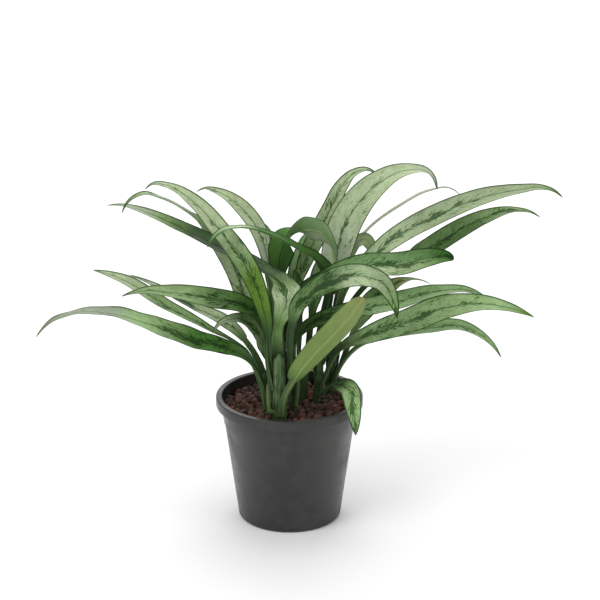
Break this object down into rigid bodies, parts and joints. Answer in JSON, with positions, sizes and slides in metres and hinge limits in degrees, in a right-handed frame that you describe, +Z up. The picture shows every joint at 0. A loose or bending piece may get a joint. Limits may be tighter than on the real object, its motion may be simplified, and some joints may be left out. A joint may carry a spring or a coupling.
{
  "type": "potted plant",
  "caption": "Narrow-leaved Chinese evergreen: a clump of canes with long arching silver-green leaves, rooted in potting mix in a round black nursery pot.",
  "frame": {"origin": "centre of the pot's base, on the surface it stands on", "axes": "+Z up along the pot's axis; +X to the right and +Y to the back as seen from the plant's front, the side with the hanging leaf at the rim"},
  "size_m": [0.4131, 0.1935, 0.2917],
  "materials": {
    "black_plastic": "satin",
    "potting_mix": "matte",
    "cane": "satin",
    "leaf": "satin",
    "young_leaf": "satin",
    "dry_sheath": "matte"
  },
  "bodies": {
    "root": {"pot": "black_plastic", "potting_mix": "potting_mix", "cane_front": "cane", "cane_left": "cane", "cane_middle": "cane", "cane_inner": "cane", "cane_right": "cane", "cane_far_right": "cane", "cane_back": "cane", "leaf_front_1": "leaf", "leaf_front_2": "leaf", "leaf_front_3": "leaf", "leaf_front_4": "young_leaf", "leaf_front_5": "leaf", "leaf_front_6": "leaf", "leaf_left_1": "leaf", "leaf_left_2": "leaf", "leaf_left_3": "leaf", "leaf_middle_1": "leaf", "leaf_middle_2": "leaf", "leaf_inner_1": "leaf", "leaf_inner_2": "leaf", "leaf_right_1": "leaf", "leaf_right_2": "leaf", "leaf_right_3": "leaf", "leaf_right_4": "leaf", "leaf_right_5": "leaf", "leaf_far_right_1": "leaf", "leaf_far_right_2": "leaf", "leaf_far_right_3": "leaf", "leaf_far_right_4": "leaf", "leaf_far_right_5": "leaf", "leaf_far_right_6": "leaf", "leaf_back_1": "leaf", "leaf_back_2": "leaf", "leaf_back_3": "leaf", "leaf_back_4": "leaf", "leaf_back_5": "leaf", "leaf_back_6": "leaf", "dry_sheath": "dry_sheath"}
  },
  "joints": []
}
